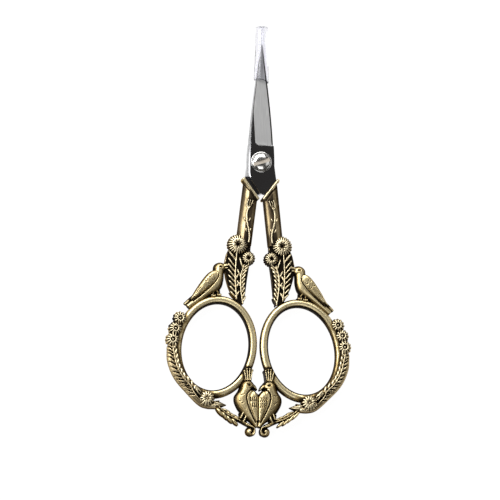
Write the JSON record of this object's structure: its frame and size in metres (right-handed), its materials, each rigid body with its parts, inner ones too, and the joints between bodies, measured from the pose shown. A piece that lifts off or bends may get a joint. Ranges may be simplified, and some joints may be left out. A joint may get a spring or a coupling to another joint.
{
  "type": "embroidery scissors",
  "caption": "Fine-pointed steel scissors on a slotted pivot screw, with antique brass relief handles of birds, daisies and ferns, oval finger bows and a clear sleeve over the points.",
  "frame": {"origin": "on the pivot axis, on the flat back of the rear blade, where the screw's tail lies flush", "axes": "+Y along the closed blades to the points, +Z along the pivot axis towards the screw's head, +X to the right as the front is seen"},
  "size_m": [0.0532, 0.1182, 0.005],
  "materials": {
    "blade_steel": "polished flats, satin ground bevels",
    "antique_brass": "antique brass, dark patina in the recesses",
    "bright_screw": "bright nickel",
    "clear_vinyl": "clear soft tube"
  },
  "bodies": {
    "rear_half": {"rear_blade": "blade_steel", "left_handle": "antique_brass", "pivot_screw": "bright_screw"},
    "front_half": {"front_blade": "blade_steel", "right_handle": "antique_brass"},
    "tip_guard": {"tip_guard": "clear_vinyl"}
  },
  "joints": [
    {"name": "blade_pivot", "type": "hinge", "parent": "rear_half", "child": "front_half", "pos_m": [0, 0, 0], "axis": [0, 0, 1], "range_deg": [0, 75]},
    {"name": "guard_slide", "type": "slide", "parent": "rear_half", "child": "tip_guard", "axis": [0, 1, 0], "range_m": [0, 0.02]}
  ]
}
